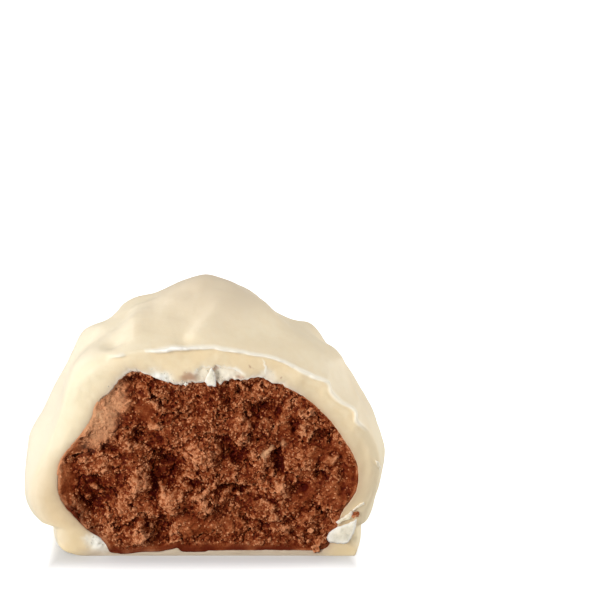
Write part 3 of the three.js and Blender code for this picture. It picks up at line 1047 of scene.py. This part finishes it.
def mottle_group():
    """A mask of soft patches with finer flecks in them, the flecks alone, and grains of different tones."""
    sizes = {"Patch": 5 * MM, "Fleck": 0.6 * MM}
    tree = group("mottle", "ShaderNodeTree", sizes, ("Mask", "Height", "Grain"))
    given = put(tree, "NodeGroupInput").outputs
    place = put(tree, "ShaderNodeTexCoord").outputs["Object"]
    patches = cloud(tree, place, given["Patch"], 2.0)[0]
    flecks = cloud(tree, place, given["Fleck"], 3.0)[0]
    mixed = sums(tree, "ADD", times(tree, patches, 0.65), times(tree, flecks, 0.35))
    drawn = put(tree, "ShaderNodeCombineXYZ", {0: flecks, 2: patches}).outputs[0]
    shift = vectors(tree, "SCALE", drawn, given["Fleck"])
    grains = put(tree, "ShaderNodeTexVoronoi", {
        "Vector": vectors(tree, "ADD", place, shift), "Scale": sums(tree, "DIVIDE", 0.6, given["Fleck"]),
    })
    draw = put(tree, "ShaderNodeSeparateColor", {0: grains.outputs["Color"]}).outputs[0]
    put(tree, "NodeGroupOutput", {0: spread(tree, mixed, 0.36, 0.64), 1: flecks, 2: draw})
    return tree


def finish_named(name):
    """A new material with a shader in it, and its tree and shader."""
    material = bpy.data.materials.new(name)
    material.use_nodes = True
    tree = material.node_tree
    shader = tree.nodes["Principled BSDF"]
    return material, tree, shader


def mottled(tree, mottle, patch, fleck):
    """The outputs of the mottle, with patches and flecks of these sizes."""
    return put(tree, "ShaderNodeGroup", {"Patch": patch, "Fleck": fleck}, node_tree=mottle).outputs


def bumped(tree, shader, height, strength, distance):
    """Fine relief in a finish."""
    bump = put(tree, "ShaderNodeBump", {"Height": height, "Strength": strength, "Distance": distance})
    tree.links.new(bump.outputs[0], shader.inputs["Normal"])


def mark(tree, title):
    """A number kept on the vertices of a piece."""
    return put(tree, "ShaderNodeAttribute", attribute_name=title).outputs["Fac"]


def white_chocolate(mottle):
    """White chocolate: ivory and waxy, paler where it crumbled, with painted shade on its crown and low on
    the cut, painted light on its sides and the cut's upper left, and a ridge, partly bloom and partly
    painted highlight, that faintly glows.
    """
    material, tree, shader = finish_named("white chocolate")
    patches = mottled(tree, mottle, 7 * MM, 0.8 * MM)
    across, _, up = parts(tree, put(tree, "ShaderNodeTexCoord").outputs["Object"])
    cut, edge, rim, smudge, inner = [mark(tree, title) for title in COATING_MARKS]

    def fading(value, places, most=1.0):
        return spread(tree, value, places[0] * MM, places[1] * MM, 0.0, most)

    # painted light on the right side, lower down
    right = times(tree, fading(across, RIGHT_LIT_SIDE), fading(up, RIGHT_LOW, 0.6))
    # painted shade darkens the crown; painted light makes the left side and the lower right paler
    shell = layered(
        tree, blend(tree, patches["Mask"], rgb(246, 228, 195), rgb(249, 233, 203)),
        (fading(up, CROWN_SHADE, 0.9), (229, 212, 184)),
        (fading(across, LEFT_LIT_SIDE, 0.8), (247, 236, 212)),
        (right, (255, 241, 210)),
    )
    # painted shade and light on the cut: darker low down, paler at its foot and on its upper left
    cut_shaded_low = blend(tree, patches["Mask"], rgb(225, 199, 156), rgb(233, 209, 169))
    cut_high = blend(tree, patches["Mask"], rgb(240, 218, 178), rgb(247, 229, 194))
    face = layered(
        tree, blend(tree, fading(up, CUT_HEIGHT), cut_shaded_low, cut_high),
        (right, (238, 214, 172)),
        (fading(up, CUT_FOOT, 0.8), (237, 215, 173)),
        (fading(across, CUT_LEFT, fading(up, CUT_LEFT_UP, 0.6)), (255, 243, 212)),
    )
    # the strip along the floor is greyer, partly dust and partly painted shade
    base = times(tree, fading(up, BASE_LAYER, 0.9), cut)
    base = times(tree, base, fading(sums(tree, "ABSOLUTE", across), BASE_HALF))
    colour = layered(
        tree, blend(tree, cut, shell, face),
        # greyer beside the core, with a thin brown praline stain at its very edge
        (times(tree, inner, 0.6), (207, 187, 157)),
        (times(tree, sums(tree, "POWER", inner, 7.0), 0.3), (190, 140, 104)),
        (base, (204, 187, 165)),
        (rim, (253, 249, 238)),
        (edge, (255, 250, 240)),
        (times(tree, smudge, 0.7), (172, 116, 82)),
    )
    feed(tree, shader, {
        "Base Color": colour,
        "Roughness": spread(tree, patches["Mask"], 0, 1, 0.38, 0.5),
        "IOR": 1.45,
        "Subsurface Weight": 0.3,
        "Subsurface Radius": (1.0, 0.97, 0.94),
        "Subsurface Scale": 0.7 * MM,
        "Emission Color": rgb(255, 242, 222),
        "Emission Strength": times(tree, edge, 0.09),  # painted light: the ridge, crack, scoop edge and the ivory flakes' edges glow faintly
    })
    bumped(tree, shader, patches["Height"], 0.25, 0.1 * MM)
    return material


def praline(mottle):
    """Praline crumb: dark and oily in its pits, paler and drier on the grains that stand up, and partly
    this is painted shade and light.
    """
    material, tree, shader = finish_named("praline")
    patches = mottled(tree, mottle, 2.6 * MM, 0.22 * MM)
    grain = spread(tree, patches["Grain"], 0, 1, -0.13, 0.13, smooth=False)
    level = times(tree, mark(tree, "lift"), 0.5)
    for part in (
        times(tree, mark(tree, "stand"), 0.32),
        mark(tree, "tone"),
        spread(tree, patches["Mask"], 0, 1, 0.015, 0.195, smooth=False),
        times(tree, grain, mark(tree, "rough")),
    ):
        level = sums(tree, "ADD", level, part)
    toned = put(tree, "ShaderNodeValToRGB", {0: level})
    tones = toned.color_ramp.elements
    for position, tone in PRALINE_TONES:
        tones.new(position).color = rgb(*tone)
    for end in (0, -1):  # the black and the white that a ramp starts with
        tones.remove(tones[end])
    hazy = times(tree, mark(tree, "haze"), 3.5, clamp=True)
    colour = layered(
        tree, toned.outputs[0], (hazy, (220, 167, 125)), (mark(tree, "skin"), (94, 28, 4)),
    )
    feed(tree, shader, {"Base Color": colour, "Roughness": 0.6, "Specular IOR Level": 0.08})
    bumped(tree, shader, patches["Height"], 0.9, 0.14 * MM)
    return material


def pale_flake(mottle):
    """A thin broken flake of white chocolate: paler and clearer than the coating, with a painted highlight
    along its edge.
    """
    material, tree, shader = finish_named("pale flake")
    patches = mottled(tree, mottle, 1.5 * MM, 0.3 * MM)
    flat = blend(tree, patches["Mask"], rgb(222, 215, 195), rgb(246, 239, 221))
    feed(tree, shader, {
        "Base Color": blend(tree, mark(tree, "edge"), flat, rgb(255, 251, 242)),
        "Roughness": spread(tree, patches["Mask"], 0, 1, 0.35, 0.55),
        "Subsurface Weight": 0.3,
        "Subsurface Radius": (1.0, 0.9, 0.8),
        "Subsurface Scale": 0.5 * MM,
    })
    bumped(tree, shader, patches["Height"], 0.3, 0.08 * MM)
    return material


def white_floor():
    """White paper; to the camera it is as bright as a photograph's cleared background."""
    material, tree, shader = finish_named("white floor")
    across, back, _ = parts(tree, put(tree, "ShaderNodeTexCoord").outputs["Object"])
    behind = sums(tree, "MAXIMUM", sums(tree, "SUBTRACT", back, SHADOW_ROUND), 0.0)
    squares = [times(tree, way, way) for way in (across, behind)]
    out = sums(tree, "SQRT", sums(tree, "ADD", *squares))
    beside = spread(tree, out, SHADOW_HALF, SHADOW_HALF + SHADOW_FADES[0])
    before = spread(tree, back, SHADOW_FRONT, SHADOW_FRONT - SHADOW_FADES[1])
    middle, rim, lit = FLOOR_GLOW
    under = spread(tree, out, SHADOW_RIM[0] * SHADOW_HALF, SHADOW_RIM[1] * SHADOW_HALF, middle, rim)
    glow = spread(tree, sums(tree, "MAXIMUM", beside, before), 0.0, 1.0, under, lit, smooth=False)
    seen = put(tree, "ShaderNodeLightPath").outputs["Is Camera Ray"]
    feed(tree, shader, {
        "Base Color": (0.6, 0.6, 0.6, 1),
        "Roughness": 0.9,
        "Specular IOR Level": 0.1,
        "Emission Color": (1, 1, 1, 1),
        "Emission Strength": times(tree, seen, glow),
    })
    return material


# Stage

def floor():
    """A plain white floor."""
    corners = FLOOR_HALF * np.array([(-1, -1, 0), (1, -1, 0), (1, 1, 0), (-1, 1, 0)])
    piece = mesh_piece("floor", corners, [(0, 1, 2, 3)], {})
    piece.data.materials.append(white_floor())


def lamp(name, place, size, power, colour):
    """A soft square light that shines on the sweet."""
    light = bpy.data.lights.new(name, "AREA")
    light.size = size
    light.energy = power
    light.color = colour
    holder = placed(name, light)
    holder.location = place
    holder.rotation_euler = (Vector(LAMP_AIM) - Vector(place)).to_track_quat("-Z", "Y").to_euler()


def lighting():
    """A white room with a key light from the left and two that light the dome's sides from behind."""
    world = bpy.data.worlds.new("white room")
    world.use_nodes = True
    tree = world.node_tree
    seen = put(tree, "ShaderNodeLightPath").outputs["Is Camera Ray"]
    feed(tree, tree.nodes["Background"], {
        "Color": (1, 1, 1, 1), "Strength": spread(tree, seen, 0, 1, ROOM_LIGHT, 1.0, smooth=False),
    })
    bpy.context.scene.world = world
    for name, settings in LAMPS.items():
        lamp(name, *settings)
    bpy.context.scene.view_settings.view_transform = "Standard"


def camera():
    """The camera, level from side to side and looking a little down."""
    lens = bpy.data.cameras.new("camera")
    lens.lens = LENS
    lens.sensor_width = SENSOR
    lens.clip_start = 0.01
    lens.clip_end = 20
    holder = placed("camera", lens)
    holder.location = CAMERA_AT
    holder.rotation_euler = (math.radians(90 - CAMERA_DOWN), 0, 0)
    bpy.context.scene.camera = holder


# The whole scene

camera()
lighting()
floor()

mottle = mottle_group()
ivory = white_chocolate(mottle)
crumb = praline(mottle)
pale = pale_flake(mottle)
tearing = crumb_tree()
strewing = scatter_tree()

coating = grow(coating_piece(), coat_tree(), Material=ivory)
core = grow(core_piece(), tearing, Material=crumb)
crumbs = strew(core, "praline_crumbs", "rough", strewing, crumb)
clods = strew(core, "praline_clods", "rough", strewing, crumb)
chips = strew(coating, "white_chips", "rim", strewing, pale)
flakes = [flake(name, *shape, pale) for name, shape in PALE_FLAKES.items()]
flakes += [flake(name, *shape, ivory) for name, shape in IVORY_FLAKES.items()]
bits = [flake(name, *shape, crumb) for name, shape in LOOSE_CRUMBS.items()]
for bit in bits:
    grow(bit, tearing, Material=crumb, **LOOSE_CRUMB_TEAR)

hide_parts("coating")
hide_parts("praline_core")
slots = {
    "white_chocolate": (coating, chips, *flakes),
    "praline": (core, crumbs, clods, *bits),
}
for slot, pieces in slots.items():
    for piece in pieces:
        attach(piece, "root")
